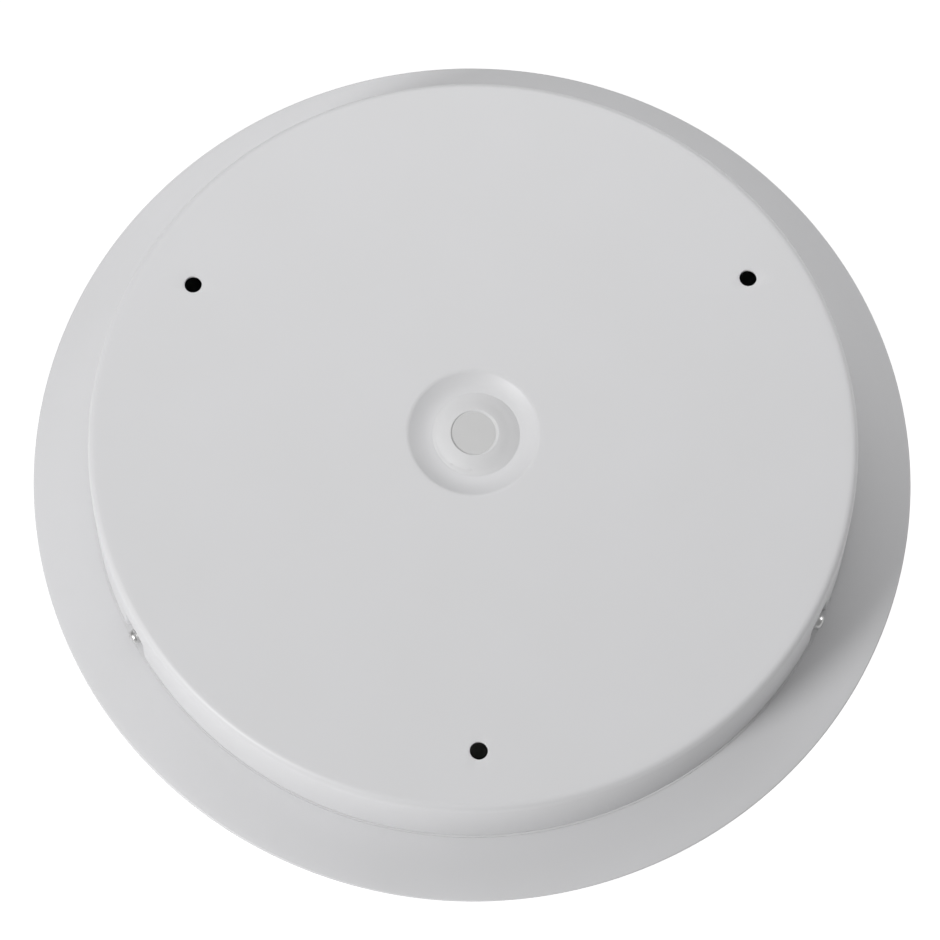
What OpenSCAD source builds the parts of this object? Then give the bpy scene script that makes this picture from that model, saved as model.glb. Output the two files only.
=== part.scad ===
// Round surface-mounted soffit downlight: a pressed pan that screws to the soffit and a cast trim
// ring with an opal diffuser that hangs from it on three side screws. Millimetres.
// The origin is the centre of the pan's back face, +Z points up into the soffit, and one fixing
// hole lies towards -Y.

/* [Back pan] */
// Diameter of the pan at its open lower edge
pan_d = 258.7; // [250:0.1:320]
// Height of the pan below the soffit
pan_h = 30; // [25:0.5:45]
// Thickness of the pan's sheet steel
sheet = 1; // [0.8:0.1:1.4]
// Slope of the pan's wall, in degrees from upright
pan_draft = 3; // [1:0.5:4]
// Radius of the shoulder between the back face and the wall
shoulder_r = 2.5; // [2:0.5:7]

/* [Fixing holes] */
// Distance from the pan's lower edge in to the centre of a fixing hole
hole_inset = 21.35; // [17:0.05:40]
// Diameter of a fixing hole
hole_d = 5.8; // [4:0.1:7]

/* [Cable entry] */
// Outer diameter of the pressed moat round the cable entry
moat_d = 44; // [40:0.5:60]
// Depth of the moat below the back face
moat_depth = 3; // [2:0.25:4]
// Diameter of the foot of the grommet on the moat's floor
grommet_d = 31; // [26:0.5:34]
// Diameter of the grommet's flat blind top
grommet_top_d = 18; // [14:0.5:24]
// Diameter of the hole in the pan that the grommet snaps into
entry_hole_d = 25; // [18:0.5:25]

/* [Side screws] */
// Angle between the two side screws beside the lower fixing hole
side_screw_spread = 124; // [112:1:132]
// Turn of the three side screws against the fixing holes, in degrees
side_screw_turn = 0.5; // [-4:0.5:4]
// Distance from a pocket's top edge down to its side screw's axis
side_screw_drop = 9.5; // [6:0.5:9.5]
// Thread diameter of a side screw
side_screw_d = 3; // [2.5:0.1:4]
// Head diameter of a side screw
side_head_d = 5; // [4.8:0.1:7]
// Head height of a side screw
side_head_h = 2.4; // [1.5:0.1:3]
// Width of the flat pocket pressed into the wall round a side screw
pocket_w = 12; // [11:0.5:18]
// Height of the pocket above the pan's lower edge
pocket_h = 14; // [13:0.5:16]
// Length of a side screw's shank
side_shank_l = 9; // [8.5:0.5:12]

/* [Trim ring] */
// Width of the brim outside the pan's lower edge
brim_w = 20.65; // [12:0.05:60]
// How far the brim falls from the pan's edge to its rim
brim_fall = 5; // [2:0.5:9]
// Thickness of the brim at its rim
rim_t = 1.8; // [1.2:0.1:3]
// Thickness of the upright collar inside the pan
collar_t = 2; // [1.5:0.1:2.5]
// Depth of the collar's top edge below the soffit
collar_top = 10; // [6:0.5:14]
// Width of the ledge on the lip that carries the diffuser's flange
ledge_w = 5; // [4:0.25:12]
// Thickness of the lip
lip_t = 1.5; // [1.2:0.1:2.5]

/* [Diffuser] */
// Wall thickness of the diffuser
diffuser_t = 2; // [1.5:0.1:3]
// How far the diffuser's face stands below the lip
diffuser_drop = 5; // [3:0.5:12]

/* [LED tray] */
// Height of the pillars that carry the tray
pillar_h = 16; // [15:0.5:18]
// Distance from the LED board's edge to a pillar's axis
pillar_gap = 7; // [5:0.5:12]
// Distance from the pan's lower edge in to the tray's lower edge
tray_inset = 16.35; // [14:0.05:22]
// Width of the tray's sloping rim
tray_slope_w = 13; // [8:0.5:16]
// Thickness of the tray
tray_t = 1; // [0.8:0.1:1.5]
// Outer diameter of the LED board
board_d = 136; // [124:1:164]
// Inner diameter of the LED board
board_bore_d = 50; // [36:1:56]
// Thickness of the LED board
board_t = 1.6; // [1:0.1:2]

/* [LED driver] */
// Length of the driver case
driver_l = 100; // [84:1:104]
// Width of the driver case
driver_w = 34; // [28:1:36]
// Height of the driver case with its lid
driver_h = 12; // [10:0.5:13.5]

/* [Terminal block] */
// Distance between the terminals
terminal_pitch = 12; // [10:0.5:13]
// Width of the terminal block along the wires
terminal_w = 18; // [16:0.5:20]
// Height of the terminal block
terminal_h = 12; // [11:0.5:13]

/* [Hidden] */

// Clearances: between pieces that only sit together, between pieces that move past each other,
// and the radial fit of a screw in its thread
seat_gap = 0.1;
move_gap = 0.3;
thread_fit = 0.05;
m3_clear = 3.4;
m3_tapped = 3 + 2 * thread_fit;
eps = 0.01;

// Back pan
hole_count = 3;
first_hole = -90;
pan_r = pan_d / 2;
hole_circle_r = pan_r - hole_inset;
wall_run = pan_h - shoulder_r * (1 - sin(pan_draft));
shoulder_c = pan_r - shoulder_r * cos(pan_draft) - wall_run * tan(pan_draft);
moat_r = moat_d / 2;
floor_r = grommet_d / 2;
moat_floor = -moat_depth;
moat_steps = 14;
pan_inside = -sheet;

// Side screws and their pockets; the flat land is set in just far enough to be flat all over
screw_start = first_hole + side_screw_turn;
screw_angles = [
    screw_start - side_screw_spread / 2, screw_start + side_screw_spread / 2, screw_start + 180
];
pocket_top = -(pan_h - pocket_h);
pocket_corner = 3;
side_screw_z = pan_h - pocket_h + side_screw_drop;
land_inset = 1;
land_d = sqrt(pow(pan_r - pocket_h * tan(pan_draft), 2) - pow(pocket_w / 2, 2)) - land_inset;
slot_w = side_screw_d + 0.4;
washer_t = 0.6;
washer_d = side_head_d + 1;
head_seat = land_d + seat_gap + washer_t;

// Trim ring
ring_r = pan_r + brim_w;
pad_face = land_d - sheet - move_gap;
collar_r = pad_face - 0.9;
collar_in = collar_r - collar_t;
brim_root = -(pan_h + move_gap);
brim_edge = brim_root - brim_fall;
lip_top = -(pan_h + 4.5);
lip_bottom = lip_top - lip_t;
groove_depth = 1.5;
seal_r = pan_r + 0.3;
seal_w = sheet + 0.9;
insert_d = side_screw_d + 2;
insert_l = 6;
boss_w = insert_d + 5;
boss_h = insert_d + 3;
boss_in = collar_r - insert_l;

// Diffuser, its gasket and its clamp ring
flange_r = pan_r - 14.35;
lip_r = flange_r - ledge_w;
gasket_t = 1;
gasket_w = ledge_w - 1;
flange_top = lip_top + gasket_t + diffuser_t;
clamp_t = 1;
clamp_count = 6;
clamp_r = (flange_r + collar_in) / 2;
clamp_boss_d = 6.6;
face_z = lip_bottom - diffuser_drop;
face_corner = 3.5;

// LED tray and board
pillar_count = 4;
pillar_w = 7;
pillar_r = board_d / 2 + pillar_gap;
tray_edge_r = pan_r - tray_inset;
tray_flat_r = tray_edge_r - tray_slope_w;
tray_top = pan_inside - pillar_h;
tray_under = tray_top - tray_t;
tray_edge = -(pan_h - 1);
board_under = tray_under - board_t;
chip = [3.5, 2.8, 0.8];
chip_rings = [[board_bore_d / 2 + 11, 12], [board_d / 2 - 10, 20]];
board_screw_r = (chip_rings[0][0] + chip_rings[1][0]) / 2;
board_screw_count = 4;
bush_r = board_d / 2 + 12;
bush_hole_d = 8;

// LED driver
driver_x = -2;
driver_y = pillar_r - 28;
lead_angle = 180 - asin((driver_y - 7) / bush_r);
driver_wall = 1.5;
tab_l = 10;
tab_y = 9;
tab_t = 2;
driver_top = tray_top + driver_h;
driver_end = [driver_x - driver_l / 2, driver_x + driver_l / 2];
driver_board_z = tray_top + 4;
driver_board_t = 1.6;
driver_part_h = driver_h - 7;
capacitor_r = (driver_part_h + 0.8) / 2;
lead_z = tray_top + 7;

// Terminal block and earth
terminal_at = [30, -38];
terminal_count = 3;
terminal_l = terminal_count * terminal_pitch;
cavity_w = 6.4;
terminal_out = terminal_at[0] + terminal_w / 2;
terminal_z = pan_inside - terminal_h / 2;
lug_l = 10;
stud_at = [terminal_at[0], terminal_at[1] - terminal_l / 2 - lug_l / 2];
earth_at = [72, -52];
stud_d = 4;

// Leads: outer diameters and hand-chosen routes
lead_d = 2.2;
led_lead_d = 1.6;
lead_sides = 8;
lead_steps = 4;

// Points on an arc
function arc(c, r, a0, a1, n) = [for (i = [0 : n])
    let (a = a0 + (a1 - a0) * i / n) c + r * [cos(a), sin(a)]];

// Point between p1 and p2 on a smooth curve through four points
function blend_point(p0, p1, p2, p3, t) = 0.5 * (2 * p1 + (p2 - p0) * t
    + (2 * p0 - 5 * p1 + 4 * p2 - p3) * t * t + (3 * p1 - p0 - 3 * p2 + p3) * t * t * t);

// Smooth curve through every point of a route
function smooth_route(p) = concat(
    [for (i = [0 : len(p) - 2], s = [0 : lead_steps - 1])
        blend_point(p[max(i - 1, 0)], p[i], p[i + 1], p[min(i + 2, len(p) - 1)], s / lead_steps)],
    [p[len(p) - 1]]);

function unit(v) = v / norm(v);

// Round lead along a route; side is a direction that the route never runs along, and the end
// rings lie square to the first and last directions
module lead(route, d, side, start_dir, end_dir) {
    path = smooth_route(route);
    last = len(path) - 1;
    dirs = [for (i = [0 : last])
        i == 0 ? start_dir : i == last ? end_dir : unit(path[i + 1] - path[i - 1])];
    u = [for (t = dirs) unit(cross(side, t))];
    v = [for (i = [0 : last]) cross(dirs[i], u[i])];
    rings = [for (i = [0 : last], k = [0 : lead_sides - 1]) let (a = 360 * k / lead_sides)
        path[i] + d / 2 * (cos(a) * u[i] + sin(a) * v[i])];
    walls = [for (i = [0 : last - 1], k = [0 : lead_sides - 1]) let (n = (k + 1) % lead_sides)
        [i * lead_sides + k, (i + 1) * lead_sides + k, (i + 1) * lead_sides + n, i * lead_sides + n]];
    start_cap = [[for (k = [0 : lead_sides - 1]) k]];
    end_cap = [[for (k = [lead_sides - 1 : -1 : 0]) last * lead_sides + k]];
    polyhedron(rings, concat(walls, start_cap, end_cap));
}

// Round hole along Z, from z0 up to z1 and a little past both
module drill(d, z0, z1) {
    translate([0, 0, z0 - 1]) cylinder(d = d, h = z1 - z0 + 2, $fn = 48);
}

// Ring of equally spaced copies, the first at angle a0
module polar(count, r, a0 = 0) {
    for (i = [0 : count - 1]) rotate(a0 + 360 * i / count) translate([r, 0, 0]) children();
}

// Cylinder along +X
module xcyl(r, x0, x1) {
    translate([x0, 0, 0]) rotate([0, 90, 0]) cylinder(r = r, h = x1 - x0, $fn = 48);
}

// Screw that points up: its head's seat is at z = 0 and its head hangs below
module screw_up(d, head_d, head_h, length) {
    difference() {
        union() {
            cylinder(d = d, h = length, $fn = 32);
            translate([0, 0, -head_h]) cylinder(d = head_d, h = head_h, $fn = 32);
        }
        cross_recess(d * 1.1, -head_h, head_h * 0.6);
    }
}

// Cross recess that opens downwards at z0
module cross_recess(w, z0, depth) {
    for (a = [0, 90]) rotate(a) translate([-w / 2, -w / 10, z0 - eps]) cube([w, w / 5, depth]);
}

// Hexagonal prism, w across its flats, standing on z = 0
module hex(w, h) {
    cylinder(d = w / cos(30), h = h, $fn = 6);
}

// ---- Back pan and cable entry ----

// Height of the pressed surface round the cable entry, a soft slope down to the moat's floor
function moat_z(r) = r >= moat_r ? 0 : r <= floor_r ? moat_floor
    : moat_floor * (1 + cos(180 * (r - floor_r) / (moat_r - floor_r))) / 2;
function moat_curve(drop) = [for (i = [0 : moat_steps])
    let (r = floor_r + (moat_r - floor_r) * i / moat_steps) [r, moat_z(r) - drop]];

// Foot of the wall, on the outer surface or a thickness t inside it
function wall_foot(t) = [pan_r - t / cos(pan_draft), -pan_h];

// Everything under the pan's outer surface
function pan_outline() = concat(
    [[0, moat_floor], [floor_r - 1, moat_floor]], moat_curve(0),
    arc([shoulder_c, -shoulder_r], shoulder_r, 90, pan_draft, 8), [wall_foot(0), [0, -pan_h]]);

// The shell alone, one sheet thick
function pan_section() = concat(
    [[entry_hole_d / 2, moat_floor]], moat_curve(0),
    arc([shoulder_c, -shoulder_r], shoulder_r, 90, pan_draft, 8), [wall_foot(0), wall_foot(sheet)],
    arc([shoulder_c, -shoulder_r], shoulder_r - sheet, pan_draft, 90, 8),
    [for (i = [moat_steps : -1 : 0]) moat_curve(sheet)[i]], [[entry_hole_d / 2, moat_floor - sheet]]);

// Front view of a pocket, grown by g, open at the bottom; drawn in the plane of its land
module pocket_shape(g) {
    w = pocket_w / 2 + g;
    r = pocket_corner + g;
    top = pocket_top + g;
    translate([-w, -pan_h - 1]) square([2 * w, top - r + pan_h + 1]);
    translate([-w + r, -pan_h - 1]) square([2 * (w - r), top + pan_h + 1]);
    for (s = [-1, 1]) translate([s * (w - r), top - r]) circle(r = r, $fn = 48);
}

// Block that starts on the plane at distance d from the axis and runs outwards
module pocket_block(d, g) {
    translate([d, 0, 0]) rotate([90, 0, 90]) linear_extrude(height = 12) pocket_shape(g);
}

module back_pan() color("white") difference() {
    union() {
        difference() {
            rotate_extrude($fn = 180) polygon(pan_section());
            for (a = screw_angles) rotate(a) pocket_block(land_d - sheet, sheet);
        }
        intersection() {
            rotate_extrude($fn = 180) polygon(pan_outline());
            for (a = screw_angles) rotate(a) difference() {
                pocket_block(land_d - sheet, sheet);
                pocket_block(land_d, 0);
            }
        }
    }
    polar(hole_count, hole_circle_r, first_hole) drill(hole_d, pan_inside, 0);
    for (a = screw_angles) rotate(a) translate([0, 0, -side_screw_z]) {
        xcyl(slot_w / 2, land_d - 6, land_d + 2);
        translate([land_d - 6, -slot_w / 2, -pan_h]) cube([8, slot_w, pan_h]);
    }
}

// Blind rubber grommet: a foot on the moat's floor, a neck through the hole and a flange inside.
// A thin ring groove marks where its top is cut out for the cable.
module cable_grommet() color("whitesmoke") {
    foot = floor_r - move_gap;
    top_r = grommet_top_d / 2;
    top_z = -0.5;
    neck_r = entry_hole_d / 2 - move_gap;
    under = moat_floor - sheet;
    groove_r = top_r - 1.2;
    groove_w = 0.4;
    wall = 1.6;
    neck_in = neck_r - 2.2;
    flange = neck_r + 2;
    rotate_extrude($fn = 120) polygon(concat(
        [[0, top_z], [groove_r - groove_w, top_z], [groove_r - groove_w, top_z - groove_w],
            [groove_r, top_z - groove_w], [groove_r, top_z]],
        arc([top_r - 1, top_z - 1], 1, 90, 30, 4),
        [[foot - 0.4, moat_floor + 0.5], [foot, moat_floor + 0.3], [foot, moat_floor],
            [neck_r, moat_floor], [neck_r, under], [flange, under], [flange, under - 0.8],
            [neck_r, under - 2], [neck_in, under - 2], [neck_in, moat_floor],
            [top_r - 1, top_z - wall], [0, top_z - wall]]));
}

// ---- LED tray ----

// Threaded pillars welded to the inside of the pan
module tray_pillars() color("silver") {
    polar(pillar_count, pillar_r) translate([0, 0, tray_top]) difference() {
        hex(pillar_w, pillar_h);
        drill(m3_tapped, -1, 8);
    }
}

// White dish that carries the LED board and throws the light down
module led_tray() color("white") {
    difference() {
        rotate_extrude($fn = 180) polygon([
            [0, tray_top], [tray_flat_r, tray_top], [tray_edge_r, tray_edge + tray_t],
            [tray_edge_r, tray_edge], [tray_edge_r - tray_t, tray_edge],
            [tray_flat_r - tray_t * 0.6, tray_under], [0, tray_under]]);
        polar(pillar_count, pillar_r) drill(m3_clear, tray_under, tray_top);
        polar(board_screw_count, board_screw_r) drill(m3_tapped, tray_under, tray_top);
        rotate(lead_angle) translate([bush_r, 0, 0]) drill(bush_hole_d, tray_under, tray_top);
        for (x = driver_tabs()) translate([x, driver_y + tab_y, 0]) drill(m3_tapped, tray_under, tray_top);
    }
}

module tray_screws() color("silver") {
    polar(pillar_count, pillar_r) translate([0, 0, tray_under]) screw_up(3, 5.6, 2.2, 8);
}

module led_board() color("ivory") difference() {
    translate([0, 0, board_under]) cylinder(d = board_d, h = board_t, $fn = 120);
    drill(board_bore_d, board_under, tray_under);
    polar(board_screw_count, board_screw_r) drill(m3_clear, board_under, tray_under);
}

module led_chips() color("khaki") {
    for (ring = chip_rings) polar(ring[1], ring[0], 180 / ring[1])
        translate([-chip[0] / 2, -chip[1] / 2, board_under - chip[2]]) cube(chip);
}

// The board screws end inside the tray, so nothing stands up under the driver
module board_screws() color("silver") {
    polar(board_screw_count, board_screw_r) translate([0, 0, board_under])
        screw_up(3, 5.6, 2.2, board_t + tray_t - seat_gap);
}

// Plug socket for the two LED leads on the underside of the board
module led_connector() color("white") {
    size = [6, 8, 4];
    corner = [board_d / 2 - 2 - size[0], -size[1] / 2, board_under - size[2]];
    rotate(lead_angle) translate(corner) difference() {
        cube(size);
        for (y = [2.4, 5.6]) translate([size[0] - 2, y - 0.5, -1]) cube([3, 1, 1.8]);
    }
}

// Rubber bush that lines the leads' hole in the tray
module tray_bush() color("dimgray") {
    neck = bush_hole_d / 2 - move_gap;
    flange = neck + 1.4;
    rotate(lead_angle) translate([bush_r, 0, 0]) rotate_extrude($fn = 48) polygon([
        [neck - 1, tray_top + 1], [flange, tray_top + 1], [flange, tray_top], [neck, tray_top],
        [neck, tray_under], [flange, tray_under], [flange, tray_under - 1], [neck - 1, tray_under - 1]]);
}

// ---- LED driver ----

function driver_tabs() = [driver_end[0] - tab_l / 2, driver_end[1] + tab_l / 2];

// Block as long and wide as the driver less an inset all round, from z0 up to z1
module driver_block(inset, z0, z1) {
    translate([driver_end[0] + inset, driver_y - driver_w / 2 + inset, z0])
        cube([driver_l - 2 * inset, driver_w - 2 * inset, z1 - z0]);
}

// Open box with a screw tab at each end
module driver_case() color("white") difference() {
    union() {
        driver_block(0, tray_top, driver_top - driver_wall);
        translate([driver_end[0] - tab_l, driver_y + tab_y - 5, tray_top])
            cube([driver_l + 2 * tab_l, 10, tab_t]);
    }
    driver_block(driver_wall, tray_top + driver_wall, driver_top);
    for (x = driver_tabs()) translate([x, driver_y + tab_y, 0]) drill(m3_clear, tray_top, tray_top + tab_t);
}

// Lid with a rim that drops inside the case
module driver_lid() color("white") {
    under = driver_top - driver_wall;
    inset = driver_wall + seat_gap;
    driver_block(0, under, driver_top);
    difference() {
        driver_block(inset, under - 1, under + eps);
        driver_block(inset + 1, under - 2, under);
    }
}

// Circuit board on two short feet
module driver_board() color("seagreen") {
    floor_z = tray_top + driver_wall;
    under = driver_board_z - driver_board_t;
    driver_block(driver_wall + 0.5, under, driver_board_z);
    for (x = [-driver_l / 3, driver_l / 3]) translate([driver_x + x, driver_y, floor_z])
        cylinder(d = 4, h = under - floor_z + eps, $fn = 32);
}

module driver_transformer() color("goldenrod") {
    translate([driver_x - 9, driver_y - 8, driver_board_z]) cube([18, 16, driver_part_h]);
}

module driver_capacitors() color("black") {
    for (y = [-6, 6]) translate([driver_x + 26, driver_y + y, driver_board_z + capacitor_r + seat_gap])
        xcyl(capacitor_r, -8, 8);
}

module driver_choke() color("darkorange") {
    translate([driver_x - 28, driver_y, driver_board_z]) difference() {
        cylinder(d = 13, h = driver_part_h, $fn = 64);
        translate([0, 0, -1]) cylinder(d = 6, h = driver_part_h + 2, $fn = 48);
    }
}

module driver_screws() color("silver") {
    for (x = driver_tabs()) translate([x, driver_y + tab_y, tray_top + tab_t]) rotate([180, 0, 0])
        screw_up(3, 5.6, 2.2, 6);
}

// ---- Terminal block and earth ----

function terminal_ys() = [for (i = [0 : terminal_count - 1])
    terminal_at[1] + (i - (terminal_count - 1) / 2) * terminal_pitch];
function screw_xs() = [terminal_at[0] - terminal_w / 4, terminal_at[0] + terminal_w / 4];

module terminal_block() color("white") difference() {
    union() {
        translate([terminal_at[0] - terminal_w / 2, terminal_at[1] - terminal_l / 2, pan_inside - terminal_h])
            cube([terminal_w, terminal_l, terminal_h]);
        translate([terminal_at[0] - 6, stud_at[1] - lug_l / 2, pan_inside - 3]) cube([12, lug_l + 1, 3]);
    }
    for (y = terminal_ys()) {
        translate([terminal_at[0], y, terminal_z]) cube([terminal_w + 2, cavity_w, cavity_w], center = true);
        for (x = screw_xs()) translate([x, y, pan_inside - terminal_h - 1])
            cylinder(d = 5, h = terminal_h / 2, $fn = 32);
    }
    translate([stud_at[0], stud_at[1], pan_inside - 5]) cylinder(d = stud_d + 0.6, h = 6, $fn = 32);
}

module terminal_inserts() color("gold") for (y = terminal_ys()) difference() {
    translate([terminal_at[0], y, terminal_z])
        cube([terminal_w - 4, cavity_w - 2 * seat_gap, cavity_w - 2 * seat_gap], center = true);
    translate([terminal_at[0], y, terminal_z]) xcyl(1.6, -terminal_w, terminal_w);
    for (x = screw_xs()) translate([x, y, terminal_z - 5]) cylinder(d = m3_tapped, h = 5, $fn = 32);
}

module terminal_screws() color("silver") {
    for (y = terminal_ys(), x = screw_xs()) translate([x, y, terminal_z - 3.3]) screw_up(3, 4.4, 1.6, 2);
}

module terminal_stud() color("silver") {
    translate([stud_at[0], stud_at[1], pan_inside - 8]) cylinder(d = stud_d, h = 8, $fn = 32);
}

module stud_nut(at, seat) {
    translate([at[0], at[1], seat - 3.2]) difference() {
        hex(7, 3.2);
        translate([0, 0, -1]) cylinder(d = stud_d + 2 * thread_fit, h = 6, $fn = 32);
    }
}

module terminal_nut() color("silver") {
    stud_nut(stud_at, pan_inside - 3);
}

module earth_stud() color("silver") {
    translate([earth_at[0], earth_at[1], pan_inside - 10]) cylinder(d = stud_d, h = 10, $fn = 32);
}

// Ring lug with a crimped barrel that points at the terminal block
module earth_lug() color("silver") translate([earth_at[0], earth_at[1], pan_inside]) {
    difference() {
        union() {
            translate([0, 0, -0.8]) cylinder(d = 8.4, h = 0.8, $fn = 48);
            translate([-7, -1.6, -0.8]) cube([7, 3.2, 0.8]);
        }
        translate([0, 0, -2]) cylinder(d = stud_d + 0.3, h = 3, $fn = 32);
    }
    translate([0, 0, -1.8]) difference() {
        union() {
            xcyl(1.6, -11, -5);
            translate([-6.5, -1.2, 0]) cube([1.5, 2.4, 1.4]);
        }
        xcyl(lead_d / 2 + seat_gap, -12, -8);
    }
}

module earth_washer() color("silver") translate([earth_at[0], earth_at[1], pan_inside - 1.6]) difference() {
    cylinder(d = 8.4, h = 0.8, $fn = 48);
    translate([0, 0, -1]) cylinder(d = stud_d + 0.3, h = 3, $fn = 32);
}

module earth_nut() color("silver") {
    stud_nut(earth_at, pan_inside - 1.6);
}

// ---- Leads ----

module live_lead() color("saddlebrown") lead([
    [terminal_out - 7, terminal_at[1] + terminal_pitch, terminal_z],
    [46, -25, -7.5], [54, -18, -8.5], [driver_end[1] + 8, 0, -9],
    [driver_end[1] + 8, driver_y - 23, -9.5],
    [driver_end[1] + 6, driver_y - 9, lead_z], [driver_end[1], driver_y - 8, lead_z]
], lead_d, [0, 0, 1], [1, 0, 0], [-1, 0, 0]);

module neutral_lead() color("royalblue") lead([
    [terminal_out - 7, terminal_at[1], terminal_z],
    [50, -38, -7.5], [61, -28, -8.5], [driver_end[1] + 17, 0, -9],
    [driver_end[1] + 17, driver_y - 13, -9.5],
    [driver_end[1] + 9, driver_y, lead_z], [driver_end[1], driver_y + 1, lead_z]
], lead_d, [0, 0, 1], [1, 0, 0], [-1, 0, 0]);

module earth_lead() color("yellowgreen") lead([
    [terminal_out - 7, terminal_at[1] - terminal_pitch, terminal_z],
    [44, -50, -6.5], [55, -52, -3.2], [earth_at[0] - 11, earth_at[1], pan_inside - 1.8],
    [earth_at[0] - 8, earth_at[1], pan_inside - 1.8]
], lead_d, [0, 0, 1], [1, 0, 0], [1, 0, 0]);

// LED leads run from the driver through the bush to the connector under the board
module led_lead(offset_y) {
    away = [cos(lead_angle), sin(lead_angle), 0];
    across = [-sin(lead_angle), cos(lead_angle), 0];
    socket = away * (board_d / 2 - 2) - across * offset_y;
    hole = away * bush_r - across * offset_y;
    low = board_under - 2;
    outlet = [driver_end[0], driver_y - 6 + offset_y, lead_z];
    turn_x = min(outlet[0] - 8, hole[0] + 10);
    lead([
        outlet, [turn_x, outlet[1], outlet[2]],
        hole + [0, 0, tray_top + 2], hole + [0, 0, tray_under - 1],
        (hole + socket) / 2 + [0, 0, low - 0.4], socket + [0, 0, low]
    ], led_lead_d, across, [-1, 0, 0], -away);
}

module led_lead_positive() color("red") led_lead(1.4);
module led_lead_negative() color("black") led_lead(-1.4);

// ---- Trim ring and diffuser ----

// Height of the brim's upper surface
function brim_z(r) = brim_root - brim_fall * (r - pan_r) / (ring_r - pan_r);

module ring_body() {
    seal_in = seal_r - seal_w - move_gap;
    seal_out = seal_r + move_gap;
    root_r = seal_out + 2;
    rotate_extrude($fn = 240) polygon([
        [collar_in, -collar_top], [collar_r, -collar_top], [collar_r, brim_root],
        [seal_in, brim_root], [seal_in, brim_root - groove_depth], [seal_out, brim_root - groove_depth],
        [seal_out, brim_z(seal_out)], [ring_r - 0.5, brim_z(ring_r - 0.5)], [ring_r, brim_edge - 0.5],
        [ring_r, brim_edge - rim_t + 0.3], [ring_r - 0.4, brim_edge - rim_t], [root_r, lip_bottom],
        [lip_r, lip_bottom], [lip_r, lip_top], [collar_in, lip_top]]);
}

module trim_ring() color("white") difference() {
    union() {
        ring_body();
        polar(clamp_count, clamp_r) translate([0, 0, lip_top - eps])
            cylinder(d = clamp_boss_d, h = flange_top - lip_top + eps, $fn = 48);
        for (a = screw_angles) rotate(a) translate([0, -boss_w / 2, -side_screw_z - boss_h / 2]) {
            intersection() {
                translate([boss_in, 0, 0]) cube([collar_r - boss_in, boss_w, boss_h]);
                translate([0, boss_w / 2, -1]) cylinder(r = collar_r - 0.5, h = boss_h + 2, $fn = 240);
            }
            translate([collar_r - 1.5, 0, 0]) cube([pad_face - collar_r + 1.5, boss_w, boss_h]);
        }
    }
    for (a = screw_angles) rotate(a) translate([0, 0, -side_screw_z]) {
        xcyl(slot_w / 2, boss_in - 1, pad_face + 1);
        xcyl(insert_d / 2, boss_in - 1, boss_in + insert_l);
    }
    polar(clamp_count, clamp_r) translate([0, 0, lip_top]) cylinder(d = m3_tapped, h = 6, $fn = 32);
}

// Seal in the brim's groove, just under the pan's lower edge
module pan_seal() color("white") translate([0, 0, brim_root - groove_depth]) difference() {
    cylinder(r = seal_r, h = groove_depth, $fn = 240);
    translate([0, 0, -1]) cylinder(r = seal_r - seal_w, h = groove_depth + 2, $fn = 240);
}

module screw_inserts() color("gold") {
    for (a = screw_angles) rotate(a) translate([0, 0, -side_screw_z]) difference() {
        xcyl(insert_d / 2 - 0.02, boss_in, boss_in + insert_l - seat_gap);
        xcyl(side_screw_d / 2 + thread_fit, boss_in - 1, boss_in + insert_l + 1);
    }
}

// Opal dish: its flange lies on the gasket and its face stands below the lip
module diffuser() color("white") {
    wall_r = lip_r - 0.8;
    flange_under = flange_top - diffuser_t;
    inner_corner = face_corner - diffuser_t;
    rotate_extrude($fn = 180) polygon(concat(
        [[flange_r, flange_top], [flange_r, flange_under], [wall_r, flange_under]],
        arc([wall_r - face_corner, face_z + face_corner], face_corner, 0, -90, 8),
        [[0, face_z], [0, face_z + diffuser_t]],
        arc([wall_r - face_corner, face_z + face_corner], inner_corner, -90, 0, 6),
        [[wall_r - diffuser_t, flange_top]]));
}

module diffuser_gasket() color("white") translate([0, 0, lip_top]) difference() {
    cylinder(r = lip_r + gasket_w, h = gasket_t, $fn = 180);
    translate([0, 0, -1]) cylinder(r = lip_r, h = gasket_t + 2, $fn = 180);
}

// The clamp ring's notches let it down past the bosses of the side screws
module diffuser_clamp() color("silver") translate([0, 0, flange_top]) difference() {
    cylinder(r = collar_in - 0.6, h = clamp_t, $fn = 180);
    translate([0, 0, -1]) cylinder(r = lip_r + 1, h = clamp_t + 2, $fn = 180);
    polar(clamp_count, clamp_r) drill(m3_clear, 0, clamp_t);
    for (a = screw_angles) rotate(a) translate([boss_in - 0.8, -boss_w / 2 - 0.8, -1])
        cube([10, boss_w + 1.6, clamp_t + 2]);
}

module clamp_screws() color("silver") {
    polar(clamp_count, clamp_r) translate([0, 0, flange_top + clamp_t]) rotate([180, 0, 0])
        screw_up(3, 5.2, 1.6, 3.5);
}

// ---- Side screws ----

module side_screw(a) color("silver") rotate(a) translate([head_seat, 0, -side_screw_z]) difference() {
    union() {
        xcyl(side_screw_d / 2, -side_shank_l, 0.5);
        xcyl(side_head_d / 2, 0, side_head_h);
    }
    rotate([0, -90, 0]) cross_recess(side_head_d * 0.6, -side_head_h, side_head_h * 0.6);
}

module side_washer(a) color("silver") {
    rotate(a) translate([land_d + seat_gap, 0, -side_screw_z]) difference() {
        xcyl(washer_d / 2, 0, washer_t);
        xcyl(side_screw_d / 2 + seat_gap, -1, washer_t + 1);
    }
}

module side_screw_left() side_screw(screw_angles[0]);
module side_screw_right() side_screw(screw_angles[1]);
module side_screw_rear() side_screw(screw_angles[2]);
module side_washer_left() side_washer(screw_angles[0]);
module side_washer_right() side_washer(screw_angles[1]);
module side_washer_rear() side_washer(screw_angles[2]);

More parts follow.
